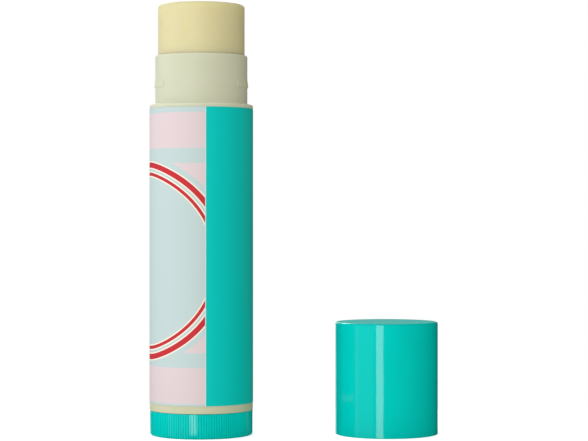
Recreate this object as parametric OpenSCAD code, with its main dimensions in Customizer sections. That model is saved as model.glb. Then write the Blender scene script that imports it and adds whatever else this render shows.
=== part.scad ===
// Lip balm stick: a translucent barrel in a printed wrap, a ribbed turn wheel with a coarse
// screw, a carrier that lifts a cast stick of balm, and a push-on cap standing beside it.
// Millimetres, +Z up. The origin is on the barrel's axis, on the surface that it stands on.

/* [Balm] */
// Diameter of the stick of balm
balm_d = 13.44; // [11:0.02:17]
// Radius on the top edge of the stick
balm_edge_r = 0.5; // [0.1:0.05:2]
// How far the stick is wound up out of its lowest place
raised = 8; // [0:0.1:38]
// How far the lowered stick lies below the neck's rim
balm_sink = 0.1; // [0:0.05:1]

/* [Barrel] */
// Gap between the stick and the barrel's bore, on the radius
balm_clear = 0.06; // [0.03:0.01:0.1]
// Wall of the barrel's body
body_wall = 1.22; // [1:0.02:2]
// Wall of the neck
neck_wall = 0.37; // [0.3:0.01:0.6]
// Height of the body, from its lower edge to the shoulder
body_h = 47.23; // [38:0.01:60]
// Height of the neck above the shoulder
neck_h = 7.6; // [6:0.1:10]
// Thickness of the floor that the screw turns in
floor_t = 1.2; // [0.8:0.1:2]
// Radius on the shoulder's outer edge
shoulder_r = 0.4; // [0.1:0.05:0.8]
// Radius on the neck's rim
rim_r = 0.15; // [0.05:0.05:0.25]

/* [Cap catches] */
// How far the two catches stand out of the neck
catch_out = 0.13; // [0.08:0.01:0.2]
// Height of a catch, from its sharp lower edge to where its ramp runs out
catch_h = 1.25; // [0.8:0.05:2]
// Height of the catches' lower edge above the shoulder
catch_rise = 2.7; // [2.2:0.1:4]
// Share of the way round that each catch takes, in degrees
catch_arc = 76; // [30:2:120]

/* [Guide ribs] */
// Number of ribs down the bore that keep the carrier from turning
rib_count = 4; // [2:1:6]
// Width of a rib
rib_w = 0.8; // [0.5:0.1:1.4]
// How far a rib stands into the bore
rib_out = 0.5; // [0.3:0.05:0.8]
// How far below the shoulder the ribs end
rib_short = 1.5; // [0.5:0.1:4]

/* [Printed wrap] */
// Thickness of the film
wrap_t = 0.04; // [0.03:0.01:0.1]
// Bare height of barrel below the film
wrap_rise = 1.2; // [0.5:0.1:3]
// Bare height of barrel above the film, up to the shoulder
wrap_short = 0.63; // [0.4:0.01:3]
// Bearing of the seam, in degrees from the right, seen from above
wrap_seam = 278; // [0:1:359]
// Width of the slit that the film leaves at the seam
seam_w = 0.12; // [0.05:0.01:0.5]
// Share of the way round that the picture side takes, in degrees
picture_arc = 178; // [90:1:270]

/* [Turn wheel] */
// Height of the wheel
wheel_h = 3.79; // [3:0.01:8]
// How far the wheel lies inside the barrel's outline, on the radius
wheel_inset = 0.025; // [0:0.005:0.2]
// Gap between the wheel and the barrel's lower edge
wheel_gap = 0.08; // [0.05:0.01:0.3]
// Radius on the two edges that face each other across that gap
joint_r = 0.05; // [0.03:0.01:0.15]
// Number of grip ribs round the wheel
grip_count = 126; // [60:2:160]
// Depth of the grooves between the grip ribs
grip_depth = 0.13; // [0.05:0.01:0.25]
// Radius on the wheel's lower edge
wheel_edge_r = 0.35; // [0.1:0.05:0.8]
// Thickness of the wheel's base
wheel_base = 1.1; // [0.8:0.1:1.6]
// Wall of the wheel's ribbed rim
wheel_wall = 1.25; // [0.8:0.05:2]
// Diameter of the wheel's hub
hub_d = 6.6; // [5.6:0.1:8]
// Number of webs from the hub to the rim
web_count = 6; // [3:1:8]
// Thickness of a web
web_t = 0.7; // [0.4:0.1:1.2]

/* [Screw] */
// Diameter of the screw's core
core_d = 3; // [2.4:0.1:3.6]
// Diameter over the screw's ridge
ridge_d = 4.5; // [4:0.1:5.4]
// Width of the ridge at its crest
crest_w = 0.6; // [0.4:0.05:0.8]
// Width of the ridge where it meets the core
ridge_w = 1.1; // [0.9:0.05:1.3]
// How far one turn of the wheel lifts the balm
lead = 3.2; // [3:0.1:5]
// How far below the shoulder the screw ends
screw_short = 1.1; // [0.5:0.1:6]
// Diameter of the journal that turns in the floor
journal_d = 4.2; // [4:0.1:5.2]
// Gap round the journal, on the radius
journal_clear = 0.08; // [0.03:0.01:0.1]
// Diameter of the flange that bears on the floor
flange_d = 7; // [6:0.1:9]
// Thickness of the flange
flange_t = 0.7; // [0.4:0.1:1.2]
// Width over the corners of the six-sided tail that drives the screw
tail_d = 3.6; // [2.8:0.1:3.8]
// How far the tail's snap bead stands out of its corners
snap_out = 0.15; // [0.05:0.01:0.25]

/* [Carrier] */
// Height of the skirt that guides the carrier, below its seat
skirt_h = 6; // [3:0.1:8]
// Thickness of the seat that the balm stands on
seat_t = 1; // [0.6:0.1:1.6]
// Height of the cup that grips the balm, above the seat
cup_h = 3.6; // [2:0.1:6]
// Wall of the skirt and the cup
cup_wall = 0.6; // [0.4:0.05:1]
// Gap round the cup and its notches
cup_clear = 0.15; // [0.08:0.01:0.3]
// Wall of the nut
nut_wall = 0.75; // [0.6:0.05:1.2]
// Height of the ridged part of the nut
nut_h = 5; // [4:0.1:6]
// How far the nut's tube stands above the cup
nut_rise = 1; // [0.2:0.1:2]
// Gap between the screw and the nut, on the radius
nut_clear = 0.12; // [0.08:0.01:0.2]
// Width of the nut's own ridge at its crest
nut_crest_w = 0.7; // [0.4:0.05:0.9]
// Width of the nut's own ridge at its root
nut_ridge_w = 1.2; // [0.9:0.05:1.4]
// Gap between the screw and the hollow that it turns in up the balm, on the radius
hollow_clear = 0.25; // [0.1:0.05:0.6]

/* [Cap] */
// Height of the cap
cap_h = 17.45; // [14:0.05:24]
// Thickness of the cap's top
cap_top = 1.2; // [0.8:0.1:2]
// Radius on the cap's upper edge
cap_edge_r = 0.45; // [0.1:0.05:0.9]
// Radius on the edges of the cap's rim
cap_rim_r = 0.12; // [0.05:0.01:0.2]
// Gap between the cap and the catches that it slides over, on the radius
cap_clear = 0.05; // [0.03:0.01:0.15]
// Height of the bead inside the cap that snaps under the catches
bead_h = 0.9; // [0.5:0.05:1.4]
// How far the cap stands to the right of the barrel
cap_x = 28.8; // [18:0.1:60]
// How far the cap stands behind the barrel
cap_y = 1; // [-20:0.1:20]

/* [Hidden] */

$fn = 96;
// Overlap where one shape is cut from or joined to another
over = 0.3;
// Flat steps that draw one turn of a helical ridge
helix_steps = 24;
// Which way the screw's ridge winds: a turn to the right, seen from below, lifts the balm
hand = -1;
// How much of a turn a ridge takes to grow to its full height
taper_turn = 0.25;
// Share of a grip rib's pitch that its flat crest takes
grip_crest = 0.4;

// Radii from the balm outwards
balm_r = balm_d / 2;
bore_r = balm_r + balm_clear;
neck_r = bore_r + neck_wall;
barrel_r = bore_r + body_wall;
wheel_r = barrel_r - wheel_inset;
wheel_in_r = wheel_r - wheel_wall;
cup_r = bore_r - cup_clear;
cup_in_r = cup_r - cup_wall;
cap_in_r = neck_r + catch_out + cap_clear;
cap_bead_r = neck_r + cap_clear;
cap_upper_r = (neck_r + bore_r) / 2;

// Radii from the screw outwards
core_r = core_d / 2;
ridge_r = ridge_d / 2;
nut_bore_r = ridge_r + nut_clear;
nut_r = nut_bore_r + nut_wall;
nut_crest_r = core_r + nut_clear;
journal_r = journal_d / 2;
floor_hole_r = journal_r + journal_clear;
flange_r = flange_d / 2;
hollow_r = ridge_r + hollow_clear;
tail_r = tail_d / 2;
snap_r = tail_r + snap_out;

// Heights from the standing surface upwards
barrel_z = wheel_h + wheel_gap;
floor_z = barrel_z + floor_t;
shoulder_z = barrel_z + body_h;
rim_z = shoulder_z + neck_h;
catch_z = shoulder_z + catch_rise;
rib_top_z = shoulder_z - rib_short;
// Running gap above the floor and between the flange and the lowered carrier
flange_gap = 0.05;
lowest_gap = 0.15;
flange_z = floor_z + flange_gap;
flange_top_z = flange_z + flange_t;
screw_top_z = shoulder_z - screw_short;
carrier_z = flange_top_z + lowest_gap + raised;
seat_z = carrier_z + skirt_h;
foot_z = seat_z + seat_t;
cup_top_z = foot_z + cup_h;
nut_top_z = cup_top_z + nut_rise;
balm_top_z = rim_z - balm_sink + raised;
// The hollow is cast round the screw while the balm stands at its lowest
hollow_top_z = screw_top_z + 0.5 + raised;
groove_top_z = rib_top_z + 0.3 + raised;
wrap_z = barrel_z + wrap_rise;
wrap_top_z = shoulder_z - wrap_short;

teal = [0.0, 0.74, 0.69];
natural = [0.85, 0.86, 0.77];
pink = [0.92, 0.84, 0.84];
wax = [0.88, 0.83, 0.64];

// What a rounded edge takes off the corner of an outline. The corner is at x and y, and
// to_x and to_y, each 1 or -1, point from it into the material.
module edge_cut(x, y, r, to_x, to_y) {
    difference() {
        translate([x + to_x * (r - over) / 2, y + to_y * (r - over) / 2])
            square(r + over, center = true);
        translate([x + to_x * r, y + to_y * r])
            circle(r);
    }
}

// A rectangle of an outline, from its lower inner corner to its upper outer one
module block(x0, y0, x1, y1) {
    translate([x0, y0])
        square([x1 - x0, y1 - y0]);
}

// A disc or tube between two heights
module ring(r_in, r_out, z0, z1) {
    translate([0, 0, z0])
        difference() {
            cylinder(r = r_out, h = z1 - z0);
            if (r_in > 0)
                translate([0, 0, -over])
                    cylinder(r = r_in, h = z1 - z0 + 2 * over);
        }
}

// Upright flat bars round the axis, from one radius to another
module bars(count, width, r0, r1, z0, z1, turn = 0) {
    for (i = [0 : count - 1])
        rotate([0, 0, turn + i * 360 / count])
            translate([r0, -width / 2, z0])
                cube([r1 - r0, width, z1 - z0]);
}

// A ridge that winds round the axis between two heights. Its middle line passes the bearing
// of the X axis at phase_z, and every point of it follows from its own height, so a screw
// and a nut drawn with phases half a lead apart stay in mesh wherever the nut stands.
module helix_ridge(z0, z1, phase_z, r_root, w_root, r_crest, w_crest) {
    steps = ceil((z1 - z0) / lead * helix_steps);
    taper = helix_steps * taper_turn;
    sections = [
        for (i = [0 : steps])
            let (
                z = z0 + (z1 - z0) * i / steps,
                turn = hand * (z - phase_z) * 360 / lead,
                grown = max(0.02, min(1, i / taper, (steps - i) / taper)),
                r_top = r_root + (r_crest - r_root) * grown
            )
            for (p = [[r_root, -w_root], [r_top, -w_crest], [r_top, w_crest], [r_root, w_root]])
                [p[0] * cos(turn), p[0] * sin(turn), z + p[1] / 2]
    ];
    sides = [
        for (i = [0 : steps - 1], k = [0 : 3])
            let (a = 4 * i + k, b = 4 * i + (k + 1) % 4)
            each [[a, b, b + 4], [a, b + 4, a + 4]]
    ];
    end = 4 * steps;
    ends = [[0, 2, 1], [0, 3, 2], [end, end + 1, end + 2], [end, end + 2, end + 3]];
    outwards = hand * sign(r_crest - r_root) > 0;
    faces = [for (f = concat(sides, ends)) outwards ? f : [f[2], f[1], f[0]]];
    polyhedron(points = sections, faces = faces);
}

// Outline of the barrel's wall, neck and floor, turned about the axis
module barrel_outline() {
    difference() {
        union() {
            block(bore_r, barrel_z, barrel_r, shoulder_z);
            block(bore_r, shoulder_z - over, neck_r, rim_z);
            block(floor_hole_r, barrel_z, bore_r + over, floor_z);
        }
        edge_cut(barrel_r, shoulder_z, shoulder_r, -1, -1);
        edge_cut(neck_r, rim_z, rim_r, -1, -1);
        edge_cut(barrel_r, barrel_z, joint_r, -1, 1);
    }
}

// Two ramps on the neck that the cap's bead rides over and snaps below
module catches() {
    for (side = [0, 180])
        rotate([0, 0, side - catch_arc / 2])
            rotate_extrude(angle = catch_arc)
                polygon([
                    [neck_r - neck_wall / 2, catch_z],
                    [neck_r + catch_out, catch_z],
                    [neck_r + catch_out, catch_z + catch_h / 5],
                    [neck_r, catch_z + catch_h],
                    [neck_r - neck_wall / 2, catch_z + catch_h]
                ]);
}

// Natural translucent moulding: body, floor, neck, catches and guide ribs
module barrel() {
    color(natural) {
        rotate_extrude()
            barrel_outline();
        catches();
        bars(rib_count, rib_w, bore_r - rib_out, bore_r + over, floor_z - over, rib_top_z, 45);
    }
}

// Printed film round the body, in two colours, open by a slit at its seam
module wrap_label() {
    slit = seam_w / barrel_r * 180 / PI;
    rotate([0, 0, wrap_seam - picture_arc]) {
        color(pink)
            wrap_part(picture_arc - slit);
        color(teal)
            wrap_part(picture_arc - 360);
    }
}

// A stretch of the film, turned from the line where its two colours meet
module wrap_part(arc) {
    rotate_extrude(angle = arc)
        block(barrel_r, wrap_z, barrel_r + wrap_t, wrap_top_z);
}

// Outline of the wheel seen from above: flat crests with a groove between each pair
module grip_outline() {
    pitch = 360 / grip_count;
    polygon([
        for (i = [0 : grip_count - 1], corner = [[-grip_crest / 2, 0], [grip_crest / 2, 0], [0.5, grip_depth]])
            let (turn = (i + corner[0]) * pitch, r = wheel_r - corner[1])
            [r * cos(turn), r * sin(turn)]
    ]);
}

// Teal moulding: ribbed rim, base, hub with the screw's socket, and webs
module turn_wheel() {
    color(teal)
        difference() {
            intersection() {
                linear_extrude(wheel_h)
                    grip_outline();
                rotate_extrude()
                    wheel_edges();
            }
            difference() {
                ring(hub_d / 2, wheel_in_r, wheel_base, wheel_h + over);
                bars(web_count, web_t, 0, wheel_r, 0, wheel_h - wheel_base);
            }
            translate([0, 0, wheel_base])
                cylinder(r = tail_r, h = wheel_h, $fn = 6);
            rotate_extrude()
                snap_outline();
        }
}

// Half section that rounds the wheel's lower edge and breaks its upper one
module wheel_edges() {
    skin = 0.02;
    difference() {
        block(0, 0, wheel_r + skin, wheel_h);
        edge_cut(wheel_r + skin, 0, wheel_edge_r, -1, 1);
        edge_cut(wheel_r + skin, wheel_h, joint_r, -1, -1);
    }
}

// Snap bead on the tail, and the groove in the hub that takes it
module snap_outline() {
    middle_z = (wheel_base + wheel_h) / 2;
    reach = snap_r - tail_r * cos(30);
    polygon([
        [tail_r * cos(30) - over, middle_z - reach - over],
        [snap_r, middle_z],
        [tail_r * cos(30) - over, middle_z + reach + over]
    ]);
}

// Natural moulding: tail, journal, flange and the coarse ridge that lifts the carrier
module lead_screw() {
    tip = 0.5;
    color(natural) {
        translate([0, 0, wheel_base])
            cylinder(r = tail_r, h = wheel_h - wheel_base + over, $fn = 6);
        rotate_extrude()
            snap_outline();
        ring(0, journal_r, wheel_h, flange_z + over);
        ring(0, flange_r, flange_z, flange_top_z);
        ring(0, core_r, flange_top_z - over, screw_top_z - tip);
        translate([0, 0, screw_top_z - tip])
            cylinder(r1 = core_r, r2 = core_r - tip, h = tip);
        helix_ridge(
            flange_top_z + ridge_w, screw_top_z - tip - ridge_w, 0,
            core_r - over, ridge_w + 0.2, ridge_r, crest_w
        );
    }
}

// What the guide ribs take out of a piece that slides past them, between two heights
module rib_notches(z0, z1) {
    reach = rib_out + cup_clear;
    bars(rib_count, rib_w + 2 * cup_clear, bore_r - reach, bore_r + over, z0, z1, 45);
}

// The carrier without the ridge in its nut
module carrier_shell() {
    difference() {
        union() {
            ring(cup_in_r, cup_r, carrier_z, cup_top_z);
            ring(0, cup_r, seat_z, foot_z);
            ring(0, nut_r, carrier_z, nut_top_z);
            bars(rib_count, cup_wall, 0, cup_r - cup_wall / 2, carrier_z, foot_z + cup_h / 2);
        }
        translate([0, 0, carrier_z - over])
            cylinder(r = nut_bore_r, h = nut_top_z - carrier_z + 2 * over);
        rib_notches(carrier_z - over, cup_top_z + over);
    }
}

// Natural moulding that rides on the screw: skirt, seat, cup, webs, nut and rib notches
module carrier() {
    margin = nut_ridge_w / 2 + 0.3;
    color(natural) {
        carrier_shell();
        helix_ridge(
            carrier_z + margin, carrier_z + nut_h - margin, lead / 2,
            nut_bore_r + over, nut_ridge_w + 0.2, nut_crest_r, nut_crest_w
        );
    }
}

// Stick of balm, cast in the barrel round the screw, the carrier and the guide ribs
module balm() {
    color(wax)
        difference() {
            rotate_extrude()
                difference() {
                    union() {
                        block(0, foot_z, cup_in_r, cup_top_z);
                        block(0, cup_top_z, balm_r, balm_top_z);
                    }
                    edge_cut(balm_r, balm_top_z, balm_edge_r, -1, -1);
                }
            translate([0, 0, foot_z - over])
                cylinder(r = hollow_r, h = hollow_top_z - foot_z + over);
            carrier_shell();
            rib_notches(foot_z - over, groove_top_z);
        }
}

// Outline of the cap standing on its rim: wall, top, and the bead that snaps under the catches
module cap_outline() {
    neck_room = neck_h + over;
    bead_top = catch_rise - cap_clear;
    union() {
        difference() {
            block(0, 0, barrel_r, cap_h);
            block(-over, -over, cap_in_r, neck_room);
            block(-over, -over, cap_upper_r, cap_h - cap_top);
            edge_cut(barrel_r, cap_h, cap_edge_r, -1, -1);
            edge_cut(barrel_r, 0, cap_rim_r, -1, 1);
            edge_cut(cap_in_r, 0, cap_rim_r, 1, 1);
        }
        polygon([
            [cap_in_r + over / 2, bead_top - bead_h],
            [cap_in_r + over / 2, bead_top],
            [cap_in_r, bead_top],
            [cap_bead_r, bead_top - bead_h / 6],
            [cap_bead_r, bead_top - bead_h / 3],
            [cap_in_r, bead_top - bead_h]
        ]);
    }
}

// Teal moulding that pushes over the neck, taken off and standing on its open end
module cap() {
    color(teal)
        translate([cap_x, cap_y, 0])
            rotate_extrude()
                cap_outline();
}

barrel();
wrap_label();
turn_wheel();
lead_screw();
carrier();
balm();
cap();
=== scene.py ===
"""Looks of a lip balm stick: a cloudy barrel in a printed wrap, a ribbed turn wheel with its screw,
a carrier that lifts the stick of balm, and a cap that stands beside it. Metres, +Z up."""

import logging
import math
from collections.abc import Callable, Sequence
from dataclasses import dataclass, field, replace
from enum import Enum

import bmesh
import bpy
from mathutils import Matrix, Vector


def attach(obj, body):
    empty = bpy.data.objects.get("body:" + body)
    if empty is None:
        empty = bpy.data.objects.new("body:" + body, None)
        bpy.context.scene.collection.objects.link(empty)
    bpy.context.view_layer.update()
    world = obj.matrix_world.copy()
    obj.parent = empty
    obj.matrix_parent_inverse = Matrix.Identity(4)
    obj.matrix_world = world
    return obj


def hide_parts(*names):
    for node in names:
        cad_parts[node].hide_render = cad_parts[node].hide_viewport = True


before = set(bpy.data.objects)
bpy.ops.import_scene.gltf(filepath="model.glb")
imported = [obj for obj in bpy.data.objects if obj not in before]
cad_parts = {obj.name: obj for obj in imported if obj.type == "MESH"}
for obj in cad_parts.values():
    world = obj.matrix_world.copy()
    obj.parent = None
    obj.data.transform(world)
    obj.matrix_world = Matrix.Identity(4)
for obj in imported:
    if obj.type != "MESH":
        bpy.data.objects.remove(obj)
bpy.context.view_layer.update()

log = logging.getLogger("lip_balm")

MM = 0.001
# Vertices nearer than this are one vertex
WELD = 1e-7
# A corner sharper than this stays a hard edge
HARD_EDGE = math.radians(32)
# How far an added rib or web reaches into the piece that it joins
OVERLAP = 0.3 * MM
# Flats round a turned piece
AROUND = 240
# Roundings of edges that aren't seen from outside
FINE_EDGE = 0.05 * MM
EDGE = 0.1 * MM
SOFT_EDGE = 0.2 * MM
# Slants of the two sets of hairline scratches, in degrees
SLANTS = (35.0, -62.0)

Colour = tuple[float, float, float]


class Body(Enum):
    """The bodies that pieces ride on."""

    BARREL = "barrel"
    DRIVE = "drive"
    LIFT = "lift"
    CAP = "cap"


class Slot(Enum):
    """The record's material slots."""

    NATURAL = "natural_plastic"
    FILM = "printed_film"
    TEAL = "teal_plastic"
    WAX = "balm_wax"


class Join(Enum):
    """How one solid is combined with another."""

    ADD = "UNION"
    CUT = "DIFFERENCE"


def linear(*shown: int) -> Colour:
    """Turns a colour as a screen shows it into light.

    Args:
        shown: The screen's red, green and blue, 0 to 255.

    Returns:
        The same colour as linear values, 0 to 1.
    """
    shares = [value / 255 for value in shown]
    return tuple(s / 12.92 if s <= 0.04045 else ((s + 0.055) / 1.055) ** 2.4 for s in shares)


# Modelling


@dataclass(frozen=True)
class Corner:
    """A corner of a half section.

    Attributes:
        r: Distance from the axis.
        z: Height.
        fillet: Radius that rounds the corner.
        steps: Flats that draw the rounding.
    """

    r: float
    z: float
    fillet: float = 0.0
    steps: int = 5


def start_fresh() -> None:
    """Leaves nothing selected, so that the next operator acts only on what it adds."""
    if bpy.context.object and bpy.context.object.mode != "OBJECT":
        bpy.ops.object.mode_set(mode="OBJECT")
    bpy.ops.object.select_all(action="DESELECT")


def take_up(piece: bpy.types.Object) -> None:
    """Makes a piece the only selected and active one.

    Args:
        piece: The piece to work on.
    """
    start_fresh()
    piece.select_set(True)
    bpy.context.view_layer.objects.active = piece


def pick(piece: bpy.types.Object, test: Callable[[Vector], bool]) -> None:
    """Selects the vertices whose place passes a test, in edit mode.

    Args:
        piece: The piece in edit mode.
        test: Says of a place whether the vertex there is wanted.
    """
    bpy.ops.mesh.select_mode(type="VERT")
    bpy.ops.mesh.select_all(action="DESELECT")
    mesh = bmesh.from_edit_mesh(piece.data)
    for vertex in mesh.verts:
        if test(vertex.co):
            vertex.select = True
    mesh.select_flush_mode()
    bmesh.update_edit_mesh(piece.data)


def fillet_offset(before: Corner, corner: Corner, after: Corner) -> float:
    """How far from a corner its rounding starts.

    Args:
        before: The corner before it.
        corner: The corner to round.
        after: The corner after it.

    Returns:
        The distance along either side.
    """
    a = Vector((before.r - corner.r, before.z - corner.z))
    b = Vector((after.r - corner.r, after.z - corner.z))
    half = a.angle(b) / 2
    return corner.fillet / math.tan(half)


def draw_section(name: str, corners: Sequence[Corner], closed: bool) -> bpy.types.Object:
    """Draws a half section corner by corner from one vertex, and rounds its corners.

    Args:
        name: The piece's name.
        corners: The corners in order.
        closed: Whether the last corner joins the first. An open section starts and ends on the axis.

    Returns:
        The section, in edit mode.
    """
    start_fresh()
    bpy.ops.mesh.primitive_plane_add(size=MM)
    piece = bpy.context.object
    piece.name = name
    piece.data.name = name
    bpy.ops.object.mode_set(mode="EDIT")
    bpy.ops.mesh.select_all(action="SELECT")
    bpy.ops.mesh.merge(type="CENTER")
    bpy.ops.transform.translate(value=(corners[0].r, 0, corners[0].z))
    for here, there in zip(corners, corners[1:]):
        step = (there.r - here.r, 0, there.z - here.z)
        bpy.ops.mesh.extrude_vertices_move(TRANSFORM_OT_translate={"value": step})
    if closed:
        ends = (corners[0], corners[-1])
        pick(piece, lambda p: any(is_at(p, c) for c in ends))
        bpy.ops.mesh.edge_face_add()
    for i, corner in enumerate(corners):
        if corner.fillet:
            after = corners[(i + 1) % len(corners)]
            offset = fillet_offset(corners[i - 1], corner, after)
            pick(piece, lambda p, c=corner: is_at(p, c))
            bpy.ops.mesh.bevel(offset=offset, segments=corner.steps, affect="VERTICES", clamp_overlap=False)
    return piece


def is_at(place: Vector, corner: Corner) -> bool:
    """Compares a place of the section with a corner.

    Args:
        place: The place.
        corner: The corner.

    Returns:
        Whether they are the same.
    """
    return abs(place.x - corner.r) < WELD and abs(place.z - corner.z) < WELD


def spin_section(
    name: str,
    corners: Sequence[Corner],
    closed: bool,
    steps: int,
    start: float = 0.0,
    sweep: float = 360.0,
    middle: tuple[float, float] = (0.0, 0.0),
) -> bpy.types.Object:
    """Turns a half section about an upright axis.

    Args:
        name: The piece's name.
        corners: The section's corners.
        closed: Whether the section is a closed outline.
        steps: Flats round the whole sweep.
        start: Bearing at which the sweep starts, in degrees from +X.
        sweep: How far it turns, in degrees. Under 360 the ends are closed with faces.
        middle: Where the axis stands.

    Returns:
        The piece, in object mode.
    """
    piece = draw_section(name, corners, closed)
    bpy.ops.mesh.select_all(action="SELECT")
    whole = sweep >= 360
    bpy.ops.mesh.spin(
        steps=steps, angle=math.radians(sweep), center=(0, 0, 0), axis=(0, 0, -1), use_auto_merge=whole
    )
    bpy.ops.mesh.select_all(action="SELECT")
    bpy.ops.mesh.remove_doubles(threshold=WELD)
    if not whole:
        bpy.ops.mesh.select_all(action="SELECT")
        bpy.ops.mesh.fill_holes(sides=0)
    bpy.ops.mesh.select_all(action="SELECT")
    bpy.ops.mesh.normals_make_consistent(inside=False)
    bpy.ops.object.mode_set(mode="OBJECT")
    piece.rotation_euler = (0, 0, math.radians(start))
    piece.location = (*middle, 0)
    settle(piece)
    return piece


def settle(piece: bpy.types.Object) -> None:
    """Moves a piece's place, turn and scale into its mesh.

    Args:
        piece: The piece in object mode.
    """
    take_up(piece)
    bpy.ops.object.transform_apply(location=True, rotation=True, scale=True)


def bar(name: str, size: Vector, centre: Vector, bearing: float = 0.0) -> bpy.types.Object:
    """Makes an upright bar with slightly broken edges.

    Args:
        name: The piece's name.
        size: Its length outwards, its width and its height.
        centre: Its middle before it is turned.
        bearing: How far it is turned about the Z axis, in degrees.

    Returns:
        The bar, in object mode.
    """
    start_fresh()
    bpy.ops.mesh.primitive_cube_add(size=1, location=centre)
    piece = bpy.context.object
    piece.name = name
    piece.scale = size
    settle(piece)
    bpy.ops.object.mode_set(mode="EDIT")
    bpy.ops.mesh.select_all(action="SELECT")
    bpy.ops.mesh.bevel(offset=min(size) / 8, segments=2, affect="EDGES")
    bpy.ops.object.mode_set(mode="OBJECT")
    piece.rotation_euler = (0, 0, math.radians(bearing))
    settle(piece)
    return piece


def combine(piece: bpy.types.Object, tool: bpy.types.Object, how: Join) -> None:
    """Joins another solid to a piece or cuts it out, and removes it.

    Args:
        piece: The piece that stays.
        tool: The solid that is used up.
        how: Whether it is added or cut out.
    """
    take_up(piece)
    modifier = piece.modifiers.new(tool.name, "BOOLEAN")
    modifier.operation = how.value
    modifier.solver = "EXACT"
    modifier.object = tool
    bpy.ops.object.modifier_apply(modifier=modifier.name)
    bpy.data.objects.remove(tool)


def smooth(piece: bpy.types.Object) -> None:
    """Welds a piece, turns its faces outwards, and shades its roundings smooth and its flats flat.

    Args:
        piece: The piece in object mode.
    """
    take_up(piece)
    bpy.ops.object.mode_set(mode="EDIT")
    bpy.ops.mesh.select_all(action="SELECT")
    bpy.ops.mesh.remove_doubles(threshold=WELD)
    bpy.ops.mesh.normals_make_consistent(inside=False)
    bpy.ops.object.mode_set(mode="OBJECT")
    bpy.ops.object.shade_smooth_by_angle(angle=HARD_EDGE)
    modifier = piece.modifiers.new("even_flats", "WEIGHTED_NORMAL")
    modifier.keep_sharp = True
    bpy.ops.object.modifier_apply(modifier=modifier.name)


def hand_over(piece: bpy.types.Object, body: Body, slot: Slot, *nodes: str) -> None:
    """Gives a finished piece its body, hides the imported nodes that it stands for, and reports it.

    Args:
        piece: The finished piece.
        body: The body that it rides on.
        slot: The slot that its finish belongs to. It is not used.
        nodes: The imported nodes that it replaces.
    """
    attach(piece, body.value)
    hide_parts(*nodes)
    faces = piece.data.polygons
    triangles = sum(len(face.vertices) - 2 for face in faces)
    log.info("%s: %d triangles, on body %s", piece.name, triangles, body.value)


def dress(piece: bpy.types.Object, material: bpy.types.Material) -> None:
    """Makes a material the only one of a piece.

    Args:
        piece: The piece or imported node.
        material: Its finish.
    """
    piece.data.materials.clear()
    piece.data.materials.append(material)


# Shading


class Graph:
    """A node tree that is filled node by node, with plain calls for sums and mixes."""

    def __init__(self, tree: bpy.types.NodeTree) -> None:
        """Takes the tree to fill.

        Args:
            tree: A material's, the world's or a group's tree.
        """
        self.tree = tree

    def add(self, kind: str, **inputs: object) -> bpy.types.Node:
        """Adds a node and sets or joins its inputs.

        Args:
            kind: The node's type, without the ShaderNode that every type starts with.
            inputs: Values or sockets by the input's name, with underscores for spaces.

        Returns:
            The node.
        """
        node = self.tree.nodes.new("ShaderNode" + kind)
        for name, value in inputs.items():
            self.put(node.inputs[name.replace("_", " ")], value)
        return node

    def put(self, socket: bpy.types.NodeSocket, value: object) -> None:
        """Joins a socket to an input, or sets the input's own value.

        Args:
            socket: The input.
            value: A socket, a number or a colour.
        """
        if isinstance(value, bpy.types.NodeSocket):
            self.tree.links.new(value, socket)
        elif socket.type == "RGBA" and len(value) == 3:
            socket.default_value = (*value, 1)
        else:
            socket.default_value = value

    def sum(self, operation: str, *terms: object, clamp: bool = False) -> bpy.types.NodeSocket:
        """Does one sum.

        Args:
            operation: The Math node's operation.
            terms: One to three numbers or sockets.
            clamp: Whether the result is kept from 0 to 1.

        Returns:
            The result.
        """
        node = self.tree.nodes.new("ShaderNodeMath")
        node.operation = operation
        node.use_clamp = clamp
        for socket, term in zip(node.inputs, terms):
            self.put(socket, term)
        return node.outputs[0]

    def mix(self, share: object, low: object, high: object) -> bpy.types.NodeSocket:
        """Mixes two colours.

        Args:
            share: How much of the second colour, 0 to 1.
            low: The colour at 0.
            high: The colour at 1.

        Returns:
            The mixed colour.
        """
        node = self.tree.nodes.new("ShaderNodeMix")
        node.data_type = "RGBA"
        self.put(node.inputs["Factor"], share)
        self.put(node.inputs[6], low)
        self.put(node.inputs[7], high)
        return node.outputs[2]

    def product(self, first: object, second: object) -> bpy.types.NodeSocket:
        """Multiplies two colours.

        Args:
            first: One colour.
            second: The other.

        Returns:
            Their product.
        """
        node = self.tree.nodes.new("ShaderNodeVectorMath")
        node.operation = "MULTIPLY"
        self.put(node.inputs[0], first)
        self.put(node.inputs[1], second)
        return node.outputs[0]

    def past(self, value: object, edge: float, blur: float) -> bpy.types.NodeSocket:
        """A mask that is 1 where a value lies past an edge.

        Args:
            value: The value.
            edge: Where the mask is one half.
            blur: How wide the step is.

        Returns:
            The mask, 0 to 1.
        """
        return self.sum("MULTIPLY_ADD", value, 1 / blur, 0.5 - edge / blur, clamp=True)

    def within(self, value: object, low: float, high: float, blur: float) -> bpy.types.NodeSocket:
        """A mask that is 1 between two edges.

        Args:
            value: The value.
            low: The first edge.
            high: The second edge.
            blur: How wide each step is.

        Returns:
            The mask, 0 to 1.
        """
        return self.sum(
            "SUBTRACT", self.past(value, low, blur), self.past(value, high, blur), clamp=True
        )

    def noise(self, place: object, size: float, detail: float = 2.0) -> bpy.types.NodeSocket:
        """Soft random values.

        Args:
            place: The coordinates, in metres.
            size: The size of one blotch, in metres.
            detail: How many finer layers it has.

        Returns:
            The values, about 0 to 1.
        """
        node = self.add("TexNoise", Vector=place, Scale=1 / size, Detail=detail)
        return node.outputs[0]


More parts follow.
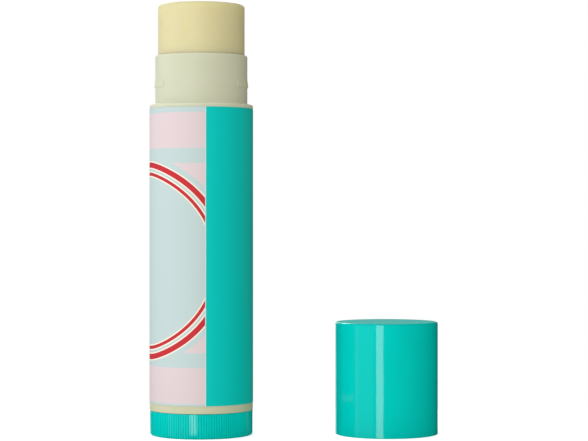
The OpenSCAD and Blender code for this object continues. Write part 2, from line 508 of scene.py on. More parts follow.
def new_group(name: str, inputs: dict[str, float], outputs: Sequence[str]) -> tuple:
    """Makes an empty node group.

    Args:
        name: The group's name.
        inputs: Each number that it takes, with its usual value. It also takes a Vector, Place.
        outputs: Each value that it gives.

    Returns:
        The group, its graph, and its input and output nodes.
    """
    group = bpy.data.node_groups.new(name, "ShaderNodeTree")
    group.interface.new_socket(name="Place", in_out="INPUT", socket_type="NodeSocketVector")
    for key, value in inputs.items():
        socket = group.interface.new_socket(name=key, in_out="INPUT", socket_type="NodeSocketFloat")
        socket.default_value = value
    for key in outputs:
        group.interface.new_socket(name=key, in_out="OUTPUT", socket_type="NodeSocketFloat")
    taken = group.nodes.new("NodeGroupInput")
    given = group.nodes.new("NodeGroupOutput")
    return group, Graph(group), taken, given


def moulded_skin() -> bpy.types.NodeTree:
    """The skin that a polished mould leaves: shallow waves, fine grain, and cloudy tone.

    Returns:
        A group that gives Waves, Grain and Tone, each about 0 to 1.
    """
    group, graph, taken, given = new_group(
        "moulded_skin", {"Wave": 3 * MM, "Grain": 0.12 * MM, "Cloud": 6 * MM}, ("Waves", "Grain", "Tone")
    )
    place = taken.outputs["Place"]
    for output, source, detail in (("Waves", "Wave", 1.0), ("Grain", "Grain", 2.0), ("Tone", "Cloud", 3.0)):
        scale = graph.sum("DIVIDE", 1.0, taken.outputs[source])
        node = graph.add("TexNoise", Vector=place, Scale=scale, Detail=detail)
        graph.put(given.inputs[output], node.outputs[0])
    return group


def fine_scratches() -> bpy.types.NodeTree:
    """Sparse hairline scratches and specks from handling.

    Returns:
        A group that gives Marks, 0 to 1.
    """
    group, graph, taken, given = new_group(
        "fine_scratches", {"Length": 4 * MM, "Width": 0.05 * MM, "Amount": 0.3}, ("Marks",)
    )
    place = taken.outputs["Place"]
    narrow = graph.sum("DIVIDE", 1.0, taken.outputs["Width"])
    long = graph.sum("DIVIDE", 1.0, taken.outputs["Length"])
    marks = None
    for slant in SLANTS:
        turned = graph.add("VectorRotate", Vector=place, Axis=(0.5, 0.7, 0.5), Angle=math.radians(slant))
        apart = graph.add("SeparateXYZ", Vector=turned.outputs[0])
        stretched = graph.add(
            "CombineXYZ",
            X=graph.sum("MULTIPLY", apart.outputs[0], narrow),
            Y=graph.sum("MULTIPLY", apart.outputs[1], narrow),
            Z=graph.sum("MULTIPLY", apart.outputs[2], long),
        )
        node = graph.add("TexNoise", Vector=stretched.outputs[0], Scale=1.0, Detail=1.0)
        line = graph.past(node.outputs[0], edge=0.74, blur=0.08)
        marks = line if marks is None else graph.sum("MAXIMUM", marks, line)
    graph.put(given.inputs["Marks"], graph.sum("MULTIPLY", marks, taken.outputs["Amount"]))
    return group


SKIN = moulded_skin()
SCRATCHES = fine_scratches()


def use_group(graph: Graph, group: bpy.types.NodeTree, **inputs: object) -> bpy.types.Node:
    """Places a node group in a material.

    Args:
        graph: The material's graph.
        group: The group.
        inputs: Its values or sockets by name.

    Returns:
        The group's node.
    """
    node = graph.tree.nodes.new("ShaderNodeGroup")
    node.node_tree = group
    for name, value in inputs.items():
        graph.put(node.inputs[name], value)
    return node


@dataclass(frozen=True)
class Skin:
    """The fine surface of a material.

    Attributes:
        roughness: How dull it is.
        uneven: How far the grain changes that.
        wave: Size of its shallow waves.
        grain: Size of its grain.
        cloud: Size of its clouds of tone.
        grit: Height of the grain, where the waves' is 1.
        depth: Height of the waves.
    """

    roughness: float
    uneven: float
    wave: float
    grain: float
    cloud: float
    grit: float
    depth: float


POLISHED = Skin(
    roughness=0.07, uneven=0.04, wave=2.6 * MM, grain=0.1 * MM, cloud=5 * MM, grit=0.02, depth=0.012 * MM
)
CLOUDY = Skin(
    roughness=0.36, uneven=0.12, wave=1.5 * MM, grain=0.09 * MM, cloud=3.5 * MM, grit=0.25, depth=0.01 * MM
)
WAXY = Skin(
    roughness=0.48, uneven=0.2, wave=1.8 * MM, grain=0.16 * MM, cloud=2.4 * MM, grit=0.3, depth=0.02 * MM
)
PRINTED = Skin(
    roughness=0.47, uneven=0.1, wave=2.2 * MM, grain=0.07 * MM, cloud=4 * MM, grit=0.1, depth=0.01 * MM
)


class Coating:
    """A material in the making: one Principled shader over the piece's own coordinates."""

    def __init__(self, name: str, skin: Skin) -> None:
        """Starts the material with its skin.

        Args:
            name: The material's name.
            skin: The fine surface that it gets.
        """
        self.material = bpy.data.materials.new(name)
        self.material.use_nodes = True
        self.shader = self.material.node_tree.nodes["Principled BSDF"]
        self.graph = Graph(self.material.node_tree)
        self.place = self.graph.add("TexCoord").outputs["Object"]
        self.depth = skin.depth
        sizes = {"Wave": skin.wave, "Grain": skin.grain, "Cloud": skin.cloud}
        fine = use_group(self.graph, SKIN, Place=self.place, **sizes)
        self.grain = fine.outputs["Grain"]
        self.tone = fine.outputs["Tone"]
        even = skin.roughness - skin.uneven / 2
        self.dull = self.graph.sum("MULTIPLY_ADD", self.grain, skin.uneven, even)
        self.height = self.graph.sum("MULTIPLY_ADD", self.grain, skin.grit, fine.outputs["Waves"])

    def roughen(self, mask: object, dull: float) -> None:
        """Makes the skin duller where a mask is 1.

        Args:
            mask: The mask.
            dull: How much duller.
        """
        self.dull = self.graph.sum("MULTIPLY_ADD", mask, dull, self.dull)

    def raise_by(self, mask: object, height: float) -> None:
        """Raises the skin where a mask is 1.

        Args:
            mask: The mask.
            height: How much, where the waves' height is 1.
        """
        self.height = self.graph.sum("MULTIPLY_ADD", mask, height, self.height)

    def scratches(self, length: float, width: float, amount: float) -> bpy.types.NodeSocket:
        """Places hairline scratches.

        Args:
            length: Their length.
            width: Their width.
            amount: How plain they are, 0 to 1.

        Returns:
            A mask of them.
        """
        sizes = {"Length": length, "Width": width, "Amount": amount}
        return use_group(self.graph, SCRATCHES, Place=self.place, **sizes).outputs["Marks"]

    def height_above_ground(self) -> bpy.types.NodeSocket:
        """Reads the height off the piece's coordinates.

        Returns:
            The height, in metres.
        """
        return self.graph.add("SeparateXYZ", Vector=self.place).outputs[2]

    def finish(self, colour: object, **values: object) -> bpy.types.Material:
        """Joins the skin to the shader.

        Args:
            colour: The base colour.
            values: The shader's other values by name, with underscores for spaces.

        Returns:
            The material.
        """
        bump = self.graph.add("Bump", Strength=1.0, Distance=self.depth, Height=self.height)
        parts = {"Base_Color": colour, "Roughness": self.dull, "Normal": bump.outputs[0], **values}
        for name, value in parts.items():
            self.graph.put(self.shader.inputs[name.replace("_", " ")], value)
        return self.material


@dataclass(frozen=True)
class GlossPlastic:
    """Opaque coloured plastic from a polished mould.

    Attributes:
        name: The material's name.
        colour: Its colour.
        shade: The colour of its slightly deeper clouds.
        skin: Its surface.
        satin_z: Height above which the flat top is satin, or None.
        satin: How dull the satin top is.
    """

    name: str
    colour: Colour
    shade: Colour
    skin: Skin = POLISHED
    satin_z: float | None = None
    satin: float = 0.74

    def make(self) -> bpy.types.Material:
        """Builds the material.

        Returns:
            The material.
        """
        coating = Coating(self.name, self.skin)
        marks = coating.scratches(length=5 * MM, width=0.04 * MM, amount=0.5)
        coating.roughen(marks, dull=0.12)
        coating.raise_by(marks, height=-0.05)
        if self.satin_z is not None:
            top = coating.graph.past(coating.height_above_ground(), self.satin_z, blur=0.05 * MM)
            coating.roughen(top, self.satin - self.skin.roughness)
        tone = coating.graph.past(coating.tone, edge=0.35, blur=0.5)
        return coating.finish(coating.graph.mix(tone, self.shade, self.colour))


@dataclass(frozen=True)
class CloudyPlastic:
    """Natural plastic with no colourant, which lets some light through.

    Attributes:
        name: The material's name.
        colour: Its colour.
        shade: The colour of its denser clouds.
        thick_z: Height under which the moulding is thick, so that its own colour shows deeper.
        thick: What the thickness leaves of each colour of light.
        root_z: Lower and upper height of the neck's root, where the colour is painted lighter to lift the
            shade that the shoulder's ledge casts there.
        root: How much lighter that painted light makes each colour there.
        scatter: How far each colour of light spreads inside.
    """

    name: str
    colour: Colour
    shade: Colour
    thick_z: float = 5.1 * MM
    thick: Colour = (0.97, 0.94, 0.87)
    # Painted light: the neck's root is painted lighter where the shoulder's ledge shades it
    root_z: tuple[float, float] = (51.12 * MM, 51.5 * MM)
    root: Colour = (1.12, 1.12, 1.16)
    scatter: Colour = (0.9, 0.9, 0.7)

    def make(self) -> bpy.types.Material:
        """Builds the material.

        Returns:
            The material.
        """
        coating = Coating(self.name, CLOUDY)
        graph = coating.graph
        height = coating.height_above_ground()
        thin = graph.past(height, self.thick_z, blur=0.3 * MM)
        left = graph.mix(thin, self.thick, (1.0, 1.0, 1.0))
        # Painted light: the neck's root is painted lighter, to lift the shade that the shoulder's ledge
        # casts on it
        left = graph.mix(graph.within(height, *self.root_z, blur=0.25 * MM), left, self.root)
        colour = graph.mix(coating.tone, self.shade, self.colour)
        return coating.finish(
            graph.product(colour, left),
            Subsurface_Weight=0.6,
            Subsurface_Radius=self.scatter,
            Subsurface_Scale=MM,
            IOR=1.49,
            Specular_IOR_Level=0.12,
        )


@dataclass(frozen=True)
class Wax:
    """Cast balm: soft, slightly see-through wax with faint drag lines from the bore.

    Attributes:
        name: The material's name.
        colour: Its colour.
        shade: The colour of its deeper mottling.
        scatter: How far each colour of light spreads inside.
        drag: Width of a drag line.
    """

    name: str
    colour: Colour
    shade: Colour
    scatter: Colour = (3.5, 3.0, 0.8)
    drag: float = 0.22 * MM

    def make(self) -> bpy.types.Material:
        """Builds the material.

        Returns:
            The material.
        """
        coating = Coating(self.name, WAXY)
        drawn = coating.graph.add("Mapping", Vector=coating.place, Scale=(1, 1, 0.04))
        lines = coating.graph.noise(drawn.outputs[0], self.drag, detail=3.0)
        coating.raise_by(lines, height=0.35)
        return coating.finish(
            coating.graph.mix(coating.tone, self.shade, self.colour),
            Subsurface_Weight=0.7,
            Subsurface_Radius=self.scatter,
            Subsurface_Scale=MM,
            IOR=1.44,
        )


@dataclass(frozen=True)
class WrapPrint:
    """The printed film: stripes and a double ring on one half, plain teal on the other.

    Attributes:
        name: The material's name.
        film_r: Radius of the film's face.
        foot_z: Height of the film's lower edge.
        top_z: Height of its upper edge.
        middle: Bearing of the picture side's middle, in degrees from the front towards the right.
        half: Half of the picture side's share of the way round, in degrees.
        ring_u: How far the rings' centre lies from that middle, round the film.
        ring_z: Height of the rings' centre.
        rings: Inner and outer radius of each red ring.
        outline: Width of the cream line along each edge of a ring.
        halo_r: Radius of the pale disc behind the rings.
        bands: Lower and upper edge of each mint stripe.
        seam_margin: Width of the unprinted strip along the seam.
        bleed: How far one ink runs into the next.
        ink: What the ink leaves of its colour where the grain is lowest.
        ink_uneven: How much the grain adds to that.
        pink: Ink of the picture side's ground.
        mint: Ink of the stripes and of the disc behind the rings.
        teal: Ink of the plain side.
        red: Ink of the rings.
        cream: Ink of the lines along the rings.
        blank: The bare film at the seam.
    """

    name: str
    film_r: float
    foot_z: float
    top_z: float
    middle: float = -81.0
    half: float = 89.0
    ring_u: float = 0.57 * MM
    ring_z: float = 26.99 * MM
    rings: tuple[tuple[float, float], ...] = ((14.35 * MM, 15.19 * MM), (13.11 * MM, 13.62 * MM))
    outline: float = 0.2 * MM
    halo_r: float = 16.2 * MM
    bands: tuple[tuple[float, float], ...] = (
        (5.0 * MM, 5.4 * MM),
        (10.86 * MM, 13.1 * MM),
        (41.9 * MM, 44.2 * MM),
        (49.64 * MM, 50.5 * MM),
    )
    seam_margin: float = 0.17 * MM
    bleed: float = 0.03 * MM
    ink: float = 0.955
    ink_uneven: float = 0.05
    pink: Colour = linear(228, 210, 212)
    mint: Colour = linear(198, 216, 214)
    teal: Colour = linear(0, 204, 196)
    red: Colour = linear(206, 52, 60)
    cream: Colour = linear(252, 243, 224)
    blank: Colour = linear(222, 240, 244)

    def make(self) -> bpy.types.Material:
        """Builds the material.

        Returns:
            The material.
        """
        coating = Coating(self.name, PRINTED)
        graph = coating.graph
        bleed = self.bleed
        turn = (0, 0, math.radians(-self.middle))
        turned = graph.add("Mapping", Vector=coating.place, Rotation=turn)
        apart = graph.add("SeparateXYZ", Vector=turned.outputs[0])
        across, outward, up = apart.outputs[0], apart.outputs[1], apart.outputs[2]
        bearing = graph.sum("ARCTAN2", across, graph.sum("MULTIPLY", outward, -1.0))
        along = graph.sum("MULTIPLY", bearing, self.film_r)
        edge = math.radians(self.half) * self.film_r
        picture = graph.within(along, -edge, edge, bleed)
        rise = graph.sum("SUBTRACT", up, self.ring_z)
        side = graph.sum("SUBTRACT", along, self.ring_u)
        square = graph.sum("MULTIPLY", side, side)
        radius = graph.sum("SQRT", graph.sum("MULTIPLY_ADD", rise, rise, square))
        colour: object = self.pink
        for low, high in self.bands:
            colour = graph.mix(graph.within(up, low, high, bleed), colour, self.mint)
        halo = graph.sum("SUBTRACT", 1.0, graph.past(radius, self.halo_r, bleed))
        colour = graph.mix(halo, colour, self.mint)
        for inner, outer in self.rings:
            cream = graph.within(radius, inner - self.outline, outer + self.outline, bleed)
            colour = graph.mix(cream, colour, self.cream)
            colour = graph.mix(graph.within(radius, inner, outer, bleed), colour, self.red)
        margin = graph.past(along, edge - self.seam_margin, bleed)
        colour = graph.mix(margin, colour, self.blank)
        colour = graph.mix(picture, self.teal, colour)
        marks = coating.scratches(length=3 * MM, width=0.05 * MM, amount=0.4)
        coating.roughen(marks, dull=0.1)
        ink = graph.sum("MULTIPLY_ADD", coating.grain, self.ink_uneven, self.ink)
        return coating.finish(graph.product(colour, ink), Specular_IOR_Level=0.1)


TEAL = GlossPlastic("teal_gloss", linear(0, 208, 197), linear(0, 203, 192), satin_z=17.43 * MM)
WHEEL_TEAL = GlossPlastic(
    "teal_wheel", linear(0, 216, 205), linear(0, 211, 200), replace(POLISHED, roughness=0.1)
)
NATURAL = CloudyPlastic("natural_cloudy", linear(218, 219, 193), linear(213, 215, 186))
BALM = Wax("cast_balm", linear(227, 218, 172), linear(224, 214, 166))


# The object. A name that ends in _r is a radius, in _z a height above the ground, in _t a thickness
# and in _w a width. Bearings are in degrees from +X towards +Y.


@dataclass
class Tube:
    """The barrel with its neck, and the printed wrap round it."""

    outer_r: float = 8.0 * MM
    foot_z: float = 3.87 * MM
    foot_edge_r: float = 0.03 * MM
    floor_z: float = 5.07 * MM
    shoulder_z: float = 51.1 * MM
    shoulder_edge_r: float = 0.2 * MM
    rim_z: float = 58.7 * MM
    rim_edge_r: float = 0.15 * MM
    neck_r: float = 7.15 * MM
    neck_foot_r: float = 0.35 * MM
    bore_r: float = 6.78 * MM
    bore_edge_r: float = 0.06 * MM
    floor_edge_r: float = 0.3 * MM
    hole_r: float = 2.18 * MM
    catch_z: float = 53.8 * MM
    catch_h: float = 1.25 * MM
    catch_out: float = 0.13 * MM
    catch_edge_r: float = 0.04 * MM
    catch_arc: float = 76.0
    ribs: int = 4
    rib_w: float = 0.8 * MM
    rib_out: float = 0.5 * MM
    rib_top_z: float = 49.6 * MM
    film_t: float = 0.04 * MM
    film_edge_r: float = 0.015 * MM
    film_z: tuple[float, float] = (5.07 * MM, 50.47 * MM)
    seam: float = -82.0
    slit: float = 0.4

    def barrel(self) -> bpy.types.Object:
        """Turns the barrel, and adds its catches and guide ribs.

        Returns:
            The barrel.
        """
        section = [
            Corner(self.outer_r, self.foot_z, self.foot_edge_r, 3),
            Corner(self.outer_r, self.shoulder_z, self.shoulder_edge_r, 6),
            Corner(self.neck_r, self.shoulder_z, self.neck_foot_r, 6),
            Corner(self.neck_r, self.rim_z, self.rim_edge_r, 6),
            Corner(self.bore_r, self.rim_z, self.bore_edge_r, 4),
            Corner(self.bore_r, self.floor_z, self.floor_edge_r),
            Corner(self.hole_r, self.floor_z, FINE_EDGE, 2),
            Corner(self.hole_r, self.foot_z, EDGE, 2),
        ]
        barrel = spin_section("barrel_shell", section, closed=True, steps=AROUND)
        for bearing in (0.0, 180.0):
            combine(barrel, self.catch(bearing), Join.ADD)
        for i in range(self.ribs):
            combine(barrel, self.guide_rib((i + 0.5) * 360 / self.ribs), Join.ADD)
        smooth(barrel)
        return barrel

    def catch(self, bearing: float) -> bpy.types.Object:
        """Turns one ramped catch.

        Args:
            bearing: Where its middle is, in degrees from +X.

        Returns:
            The catch.
        """
        root = (self.neck_r + self.bore_r) / 2
        crest = self.neck_r + self.catch_out
        section = [
            Corner(root, self.catch_z),
            Corner(crest, self.catch_z, self.catch_edge_r, 3),
            Corner(crest, self.catch_z + self.catch_h / 5, SOFT_EDGE, 3),
            Corner(self.neck_r, self.catch_z + self.catch_h),
            Corner(root, self.catch_z + self.catch_h),
        ]
        start = bearing - self.catch_arc / 2
        return spin_section("catch", section, closed=True, steps=48, start=start, sweep=self.catch_arc)

    def guide_rib(self, bearing: float) -> bpy.types.Object:
        """Makes one rib down the bore.

        Args:
            bearing: Where it stands, in degrees from +X.

        Returns:
            The rib.
        """
        size = Vector((self.rib_out + OVERLAP, self.rib_w, self.rib_top_z - self.floor_z + OVERLAP))
        middle_r = self.bore_r + (OVERLAP - self.rib_out) / 2
        centre = Vector((middle_r, 0, (self.rib_top_z + self.floor_z - OVERLAP) / 2))
        return bar("guide_rib", size, centre, bearing)

    def wrap(self) -> bpy.types.Object:
        """Turns the film, open by a slit at its seam.

        Returns:
            The film.
        """
        low, high = self.film_z
        outer = self.outer_r + self.film_t
        section = [
            Corner(self.outer_r, low),
            Corner(outer, low, self.film_edge_r, 2),
            Corner(outer, high, self.film_edge_r, 2),
            Corner(self.outer_r, high),
        ]
        sweep = 360 - self.slit
        wrap = spin_section("wrap_film", section, closed=True, steps=360, start=self.seam, sweep=sweep)
        smooth(wrap)
        return wrap

    def build(self) -> None:
        """Builds and dresses the barrel and the wrap."""
        barrel = self.barrel()
        dress(barrel, NATURAL.make())
        hand_over(barrel, Body.BARREL, Slot.NATURAL, "barrel")
        wrap = self.wrap()
        print_ = WrapPrint("wrap_print", self.outer_r + self.film_t, *self.film_z)
        dress(wrap, print_.make())
        hand_over(wrap, Body.BARREL, Slot.FILM, "wrap_label")


@dataclass
class Drive:
    """The ribbed turn wheel, and the screw that it turns."""

    wheel_r: float = 7.975 * MM
    inner_r: float = 6.725 * MM
    height: float = 3.81 * MM
    foot_edge_r: float = 0.35 * MM
    joint_edge_r: float = 0.03 * MM
    base_t: float = 1.1 * MM
    hub_r: float = 3.3 * MM
    tail_r: float = 1.8 * MM
    snap_r: float = 1.95 * MM
    snap_half: float = 0.69 * MM
    web_t: float = 0.7 * MM
    webs: int = 6
    ribs: int = 126
    groove: float = 0.13 * MM
    # How far inside the rounded foot edge the grooved part of the wall starts
    wall_margin: float = 0.05 * MM
    # Depth of the outline at each step across one rib's pitch, as a share of the groove's depth
    profile: tuple[float, ...] = (0.0, 0.0, 0.0, 0.0, 1.0, 1.0, 0.0, 0.0, 0.0, 0.0)

    def wheel(self) -> bpy.types.Object:
        """Turns the wheel, presses its grip ribs in, and adds its hub's socket and webs.

        Returns:
            The wheel.
        """
        section = [
            Corner(0, 0),
            Corner(self.wheel_r, 0, self.foot_edge_r, 6),
            Corner(self.wheel_r, self.height, self.joint_edge_r, 3),
            Corner(self.inner_r, self.height, EDGE, 2),
            Corner(self.inner_r, self.base_t, SOFT_EDGE, 2),
            Corner(self.hub_r, self.base_t, SOFT_EDGE, 2),
            Corner(self.hub_r, self.height, EDGE, 2),
            Corner(0, self.height),
        ]
        wheel = spin_section("grip_wheel", section, closed=False, steps=self.ribs * len(self.profile))
        self.press_ribs(wheel)
        web_z = self.height - self.base_t
        for i in range(self.webs):
            length = self.inner_r - self.hub_r + 2 * OVERLAP
            size = Vector((length, self.web_t, web_z - self.base_t + OVERLAP))
            centre = Vector(((self.inner_r + self.hub_r) / 2, 0, (web_z + self.base_t - OVERLAP) / 2))
            combine(wheel, bar("web", size, centre, i * 360 / self.webs), Join.ADD)
        combine(wheel, self.socket(), Join.CUT)
        combine(wheel, self.snap_groove(), Join.CUT)
        smooth(wheel)
        return wheel

    def press_ribs(self, wheel: bpy.types.Object) -> None:
        """Draws the wall in between each two grip ribs.

        Args:
            wheel: The turned wheel.
        """
        take_up(wheel)
        bpy.ops.object.mode_set(mode="EDIT")
        count = len(self.profile)
        pitch = 2 * math.pi / self.ribs
        wall = self.wheel_r - self.foot_edge_r - self.wall_margin
        for step, share in enumerate(self.profile):
            if share == 0:
                continue

            def on_step(place: Vector, wanted: int = step) -> bool:
                """Finds the wall's vertices at one step across a rib.

                Args:
                    place: A vertex's place.
                    wanted: The step.

                Returns:
                    Whether the vertex is one of them.
                """
                turn = math.atan2(place.y, place.x) / pitch * count
                return place.xy.length > wall and round(turn) % count == wanted

            pick(wheel, on_step)
            scale = 1 - self.groove * share / self.wheel_r
            bpy.ops.transform.resize(value=(scale, scale, 1), center_override=(0, 0, 0))
        bpy.ops.object.mode_set(mode="OBJECT")

    def socket(self) -> bpy.types.Object:
        """Makes the six-sided plug that cuts the hub's socket.

        Returns:
            The plug.
        """
        start_fresh()
        depth = self.height - self.base_t + MM
        bpy.ops.mesh.primitive_cylinder_add(
            vertices=6,
            radius=self.tail_r,
            depth=depth,
            location=(0, 0, self.base_t + depth / 2),
            rotation=(0, 0, math.radians(30)),
        )
        plug = bpy.context.object
        plug.name = "socket"
        settle(plug)
        return plug

    def snap_groove(self) -> bpy.types.Object:
        """Turns the ring that cuts the groove for the screw's snap bead.

        Returns:
            The ring.
        """
        middle_z = (self.base_t + self.height) / 2
        half = self.snap_half
        section = [
            Corner(self.snap_r - half, middle_z - half),
            Corner(self.snap_r, middle_z),
            Corner(self.snap_r - half, middle_z + half),
        ]
        return spin_section("snap_groove", section, closed=True, steps=96)

    def build(self) -> None:
        """Builds and dresses the wheel, and dresses the screw."""
        wheel = self.wheel()
        dress(wheel, WHEEL_TEAL.make())
        hand_over(wheel, Body.DRIVE, Slot.TEAL, "turn_wheel")
        dress(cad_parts["lead_screw"], NATURAL.make())


@dataclass
class Lift:
    """The stick of balm, and the carrier that lifts it."""

    stick_r: float = 6.72 * MM
    foot_z: float = 20.97 * MM
    cup_z: float = 24.57 * MM
    nut_z: float = 25.57 * MM
    hollow_z: float = 58.5 * MM
    top_z: float = 66.6 * MM
    cup_r: float = 6.03 * MM
    nut_r: float = 3.12 * MM
    hollow_r: float = 2.5 * MM
    edge_r: float = 0.5 * MM
    dimple: float = 0.1 * MM
    dimple_edge_r: float = 4 * MM
    grooves: int = 4
    groove_r: float = 6.13 * MM
    groove_w: float = 1.1 * MM
    groove_z: float = 57.9 * MM
    web_t: float = 0.6 * MM
    web_z: float = 22.77 * MM

    def stick(self) -> bpy.types.Object:
        """Turns the stick, with its hollow, and cuts the grooves that the guide ribs leave.

        Returns:
            The stick.
        """
        section = [
            Corner(0, self.hollow_z),
            Corner(self.hollow_r, self.hollow_z),
            Corner(self.hollow_r, self.nut_z),
            Corner(self.nut_r, self.nut_z),
            Corner(self.nut_r, self.foot_z),
            Corner(self.cup_r, self.foot_z),
            Corner(self.cup_r, self.cup_z),
            Corner(self.stick_r, self.cup_z),
            Corner(self.stick_r, self.top_z, self.edge_r, 10),
            Corner(self.stick_r * 0.8, self.top_z, self.dimple_edge_r, 6),
            Corner(0, self.top_z - self.dimple),
        ]
        stick = spin_section("balm_stick", section, closed=False, steps=AROUND)
        for i in range(self.grooves):
            length = self.stick_r - self.groove_r + OVERLAP
            size = Vector((length, self.groove_w, self.groove_z - self.foot_z + OVERLAP))
            centre = Vector((self.groove_r + length / 2, 0, (self.groove_z + self.foot_z - OVERLAP) / 2))
            combine(stick, bar("groove", size, centre, (i + 0.5) * 360 / self.grooves), Join.CUT)
        for bearing in (0.0, 90.0):
            size = Vector((2 * self.stick_r, self.web_t, 2 * (self.web_z - self.foot_z)))
            centre = Vector((0, 0, self.foot_z))
            combine(stick, bar("web", size, centre, bearing), Join.CUT)
        smooth(stick)
        return stick

    def build(self) -> None:
        """Builds and dresses the stick, and dresses the carrier."""
        stick = self.stick()
        dress(stick, BALM.make())
        hand_over(stick, Body.LIFT, Slot.WAX, "balm")
        dress(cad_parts["carrier"], NATURAL.make())


@dataclass
class Cap:
    """The push-on cap, standing on its open end."""

    x: float = 28.8 * MM
    y: float = 1.0 * MM
    outer_r: float = 8.0 * MM
    height: float = 17.45 * MM
    top_edge_r: float = 0.37 * MM
    inner_edge_r: float = 0.4 * MM
    rim_edge_r: float = 0.12 * MM
    top_t: float = 1.2 * MM
    mouth_r: float = 7.33 * MM
    upper_r: float = 6.965 * MM
    neck_room: float = 7.9 * MM
    bead_r: float = 7.20 * MM
    bead_z: float = 2.65 * MM
    bead_h: float = 0.9 * MM

    def shell(self) -> bpy.types.Object:
        """Turns the cap, with its snap bead.

        Returns:
            The cap.
        """
        section = [
            Corner(0, self.height),
            Corner(self.outer_r, self.height, self.top_edge_r, 10),
            Corner(self.outer_r, 0, self.rim_edge_r, 5),
            Corner(self.mouth_r, 0, self.rim_edge_r, 5),
            Corner(self.mouth_r, self.bead_z - self.bead_h, SOFT_EDGE, 3),
            Corner(self.bead_r, self.bead_z - self.bead_h / 3, EDGE, 3),
            Corner(self.bead_r, self.bead_z - self.bead_h / 6, FINE_EDGE, 3),
            Corner(self.mouth_r, self.bead_z),
            Corner(self.mouth_r, self.neck_room, EDGE, 3),
            Corner(self.upper_r, self.neck_room, EDGE, 3),
            Corner(self.upper_r, self.height - self.top_t, self.inner_edge_r, 5),
            Corner(0, self.height - self.top_t),
        ]
        cap = spin_section("cap_shell", section, closed=False, steps=AROUND, middle=(self.x, self.y))
        smooth(cap)
        return cap

    def build(self) -> None:
        """Builds and dresses the cap."""
        cap = self.shell()
        dress(cap, TEAL.make())
        hand_over(cap, Body.CAP, Slot.TEAL, "cap")


# The studio


@dataclass(frozen=True)
class SoftLamp:
    """A rectangular lamp that faces the object.

    Attributes:
        name: The lamp's name.
        bearing: Where it stands, in degrees from the camera's side towards the left.
        rise: How high it stands, in degrees above the level of the object's middle.
        distance: How far away it is.
        width: Its width.
        height: Its height.
        light: How bright its face is, where white paper in plain light is 1.
    """

    name: str
    bearing: float
    rise: float
    distance: float
    width: float
    height: float
    light: float

    def place(self, target: Vector) -> None:
        """Hangs the lamp.

        Args:
            target: The place that it faces.
        """
        lamp = bpy.data.lights.new(self.name, "AREA")
        lamp.shape = "RECTANGLE"
        lamp.size = self.width
        lamp.size_y = self.height
        lamp.energy = self.light * math.pi * self.width * self.height
        stand = bpy.data.objects.new(self.name, lamp)
        bpy.context.scene.collection.objects.link(stand)
        turn, rise = math.radians(self.bearing), math.radians(self.rise)
        away = Vector((-math.sin(turn) * math.cos(rise), -math.cos(turn) * math.cos(rise), math.sin(rise)))
        stand.location = target + away * self.distance
        stand.rotation_euler = away.to_track_quat("Z", "Y").to_euler()


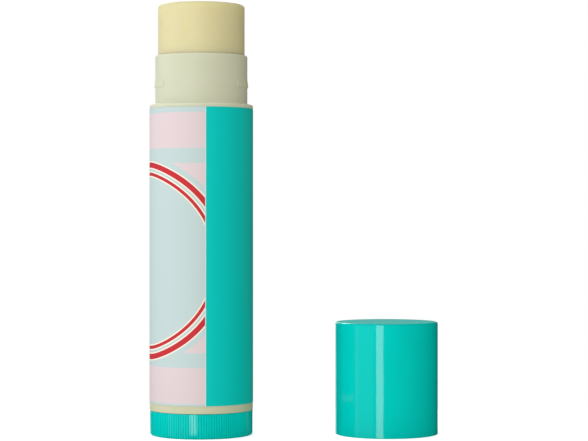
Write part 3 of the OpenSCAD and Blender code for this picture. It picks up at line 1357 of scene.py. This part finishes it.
@dataclass
class Studio:
    """The camera, the lamps, the floor and the white surround.

    Attributes:
        camera_at: Where the camera is.
        photo_width: Width of the photograph in pixels.
        focal_px: The camera's focal length in those pixels.
        sensor: Width of the camera's sensor in millimetres.
        centre: The place that the lamps face.
        fill: Light from all round.
        lean: The way from which more of it comes, as long as what it adds.
        cool: Its tint on the left.
        warm: Its tint on the right.
        strip_bearing: Bearing of the strip of backdrop that polished skins mirror, in degrees.
        strip_edge: Cosine of the angle from its middle to its edge.
        strip_blur: How soft that edge is.
        strip_spread: How much wider the strip gets towards its ends.
        floor_front: Where the floor ends in front of the object.
        floor_size: The floor's width and depth.
        floor_paper: The floor's colour.
        floor_glow: What brings the floor up to the backdrop's white.
        lamps: The lamps.
    """

    camera_at: Vector = field(default_factory=lambda: Vector((14.4, -300.0, 33.2)) * MM)
    photo_width: int = 588
    focal_px: float = 1930.0
    sensor: float = 36.0
    centre: Vector = field(default_factory=lambda: Vector((14.4, 0.0, 28.0)) * MM)
    fill: float = 0.735
    lean: tuple[float, float, float] = (-0.335, 0.03, -0.22)
    cool: Colour = (0.98, 1.0, 1.06)
    warm: Colour = (1.02, 1.0, 0.88)
    strip_bearing: float = 172.0
    strip_edge: float = 0.988
    strip_blur: float = 0.015
    strip_spread: float = 0.35
    floor_front: float = -11 * MM
    floor_size: tuple[float, float] = (0.13, 0.05)
    floor_paper: Colour = (0.9, 0.9, 0.9)
    floor_glow: float = 0.62
    lamps: tuple[SoftLamp, ...] = (
        SoftLamp("strip", bearing=16.4, rise=14.0, distance=0.9, width=0.26, height=0.9, light=3.2),
        SoftLamp("left_bank", bearing=47.0, rise=0.0, distance=0.9, width=0.55, height=0.9, light=0.17),
        SoftLamp("left_edge", bearing=71.0, rise=0.0, distance=0.9, width=0.19, height=0.9, light=0.34),
        SoftLamp("rear_left", bearing=157.0, rise=34.0, distance=0.9, width=0.45, height=0.2, light=4.8),
        SoftLamp("overhead", bearing=20.0, rise=80.0, distance=0.8, width=0.8, height=0.6, light=0.06),
    )

    def camera(self) -> None:
        """Sets the camera up as the photograph's."""
        data = bpy.data.cameras.new("camera")
        data.sensor_width = self.sensor
        data.lens = self.focal_px / self.photo_width * self.sensor
        data.clip_start = 0.01
        camera = bpy.data.objects.new("camera", data)
        bpy.context.scene.collection.objects.link(camera)
        camera.location = self.camera_at
        camera.rotation_euler = (math.radians(90), 0, 0)
        bpy.context.scene.camera = camera

    def floor(self) -> None:
        """Lays a small white floor that shows as bright as the backdrop but keeps the shadow.

        Mirrored rays pass it, so that polished skins show no bright band at their foot.
        """
        start_fresh()
        width, depth = self.floor_size
        middle = Vector((self.centre.x, self.floor_front + depth / 2, 0))
        bpy.ops.mesh.primitive_plane_add(size=1, location=middle)
        floor = bpy.context.object
        floor.name = "floor"
        floor.scale = (width, depth, 1)
        settle(floor)
        material = bpy.data.materials.new("white_floor")
        material.use_nodes = True
        graph = Graph(material.node_tree)
        paper = material.node_tree.nodes["Principled BSDF"]
        looks = {"Base Color": self.floor_paper, "Roughness": 0.9, "Specular IOR Level": 0.0}
        for name, value in looks.items():
            graph.put(paper.inputs[name], value)
        mirrored = graph.add("LightPath").outputs["Is Glossy Ray"]
        graph.put(paper.inputs["Alpha"], graph.sum("SUBTRACT", 1.0, mirrored))
        level = graph.sum("MULTIPLY", self.seen_directly(graph), self.floor_glow)
        glow = graph.add("Emission", Strength=level)
        both = graph.tree.nodes.new("ShaderNodeAddShader")
        graph.put(both.inputs[0], paper.outputs[0])
        graph.put(both.inputs[1], glow.outputs[0])
        output = material.node_tree.nodes["Material Output"]
        graph.put(output.inputs["Surface"], both.outputs[0])
        dress(floor, material)

    def seen_directly(self, graph: Graph) -> bpy.types.NodeSocket:
        """A mask for rays from the camera or through something clear.

        Args:
            graph: The tree to add it to.

        Returns:
            The mask.
        """
        path = graph.add("LightPath")
        return graph.sum("MAXIMUM", path.outputs["Is Camera Ray"], path.outputs["Is Transmission Ray"])

    def towards(self, graph: Graph, way: object, bearing: float) -> bpy.types.NodeSocket:
        """How nearly a direction points at a bearing.

        Args:
            graph: The tree to add it to.
            way: The direction.
            bearing: The bearing, in degrees from the front towards the left.

        Returns:
            1 straight at it, 0 across it and -1 straight away from it.
        """
        turn = math.radians(bearing)
        return self.along(graph, way, (-math.sin(turn), -math.cos(turn), 0))

    def along(self, graph: Graph, way: object, arrow: Sequence[float]) -> bpy.types.NodeSocket:
        """How far a direction reaches along an arrow.

        Args:
            graph: The tree to add it to.
            way: The direction.
            arrow: The arrow.

        Returns:
            The dot product of the two.
        """
        node = graph.tree.nodes.new("ShaderNodeVectorMath")
        node.operation = "DOT_PRODUCT"
        graph.put(node.inputs[0], way)
        node.inputs[1].default_value = arrow
        return node.outputs["Value"]

    def world(self) -> None:
        """Surrounds the object with soft light and a white backdrop.

        The camera and anything clear see plain white. Polished skins mirror an upright strip of it
        behind the object and a dark room beside it. Matt surfaces are lit by the fill, which
        leans to one side and turns from cool on the left to warm on the right.
        """
        world = bpy.data.worlds.new("surround")
        bpy.context.scene.world = world
        world.use_nodes = True
        world.node_tree.nodes.clear()
        graph = Graph(world.node_tree)
        way = graph.add("TexCoord").outputs["Generated"]
        soft = graph.sum("ADD", self.along(graph, way, self.lean), self.fill)
        apart = graph.add("SeparateXYZ", Vector=way)
        tint = graph.mix(graph.sum("MULTIPLY_ADD", apart.outputs[0], 0.5, 0.5), self.cool, self.warm)
        upright = graph.sum("MULTIPLY", graph.sum("ABSOLUTE", apart.outputs[2]), self.strip_spread)
        near = graph.sum("ADD", self.towards(graph, way, self.strip_bearing), upright)
        strip = graph.past(near, self.strip_edge, self.strip_blur)
        mirrored = graph.add("LightPath").outputs["Is Glossy Ray"]
        level = graph.add("Mix", Factor=mirrored, A=soft, B=strip).outputs[0]
        seen = self.seen_directly(graph)
        strength = graph.add("Mix", Factor=seen, A=level, B=1.0).outputs[0]
        colour = graph.mix(seen, tint, (1.0, 1.0, 1.0))
        light = graph.add("Background", Color=colour, Strength=strength)
        output = graph.tree.nodes.new("ShaderNodeOutputWorld")
        graph.put(output.inputs["Surface"], light.outputs[0])
        world.cycles.sampling_method = "NONE"

    def build(self) -> None:
        """Sets the whole studio up."""
        self.camera()
        for lamp in self.lamps:
            lamp.place(self.centre)
        self.floor()
        self.world()
        bpy.context.scene.view_settings.view_transform = "Standard"
        log.info("studio: %d lamps", len(self.lamps))


def main() -> None:
    """Builds the studio and each sub-assembly in order."""
    logging.basicConfig(level=logging.INFO, format="%(name)s: %(message)s")
    Studio().build()
    for assembly in (Tube(), Drive(), Lift(), Cap()):
        assembly.build()


if __name__ == "__main__":
    main()
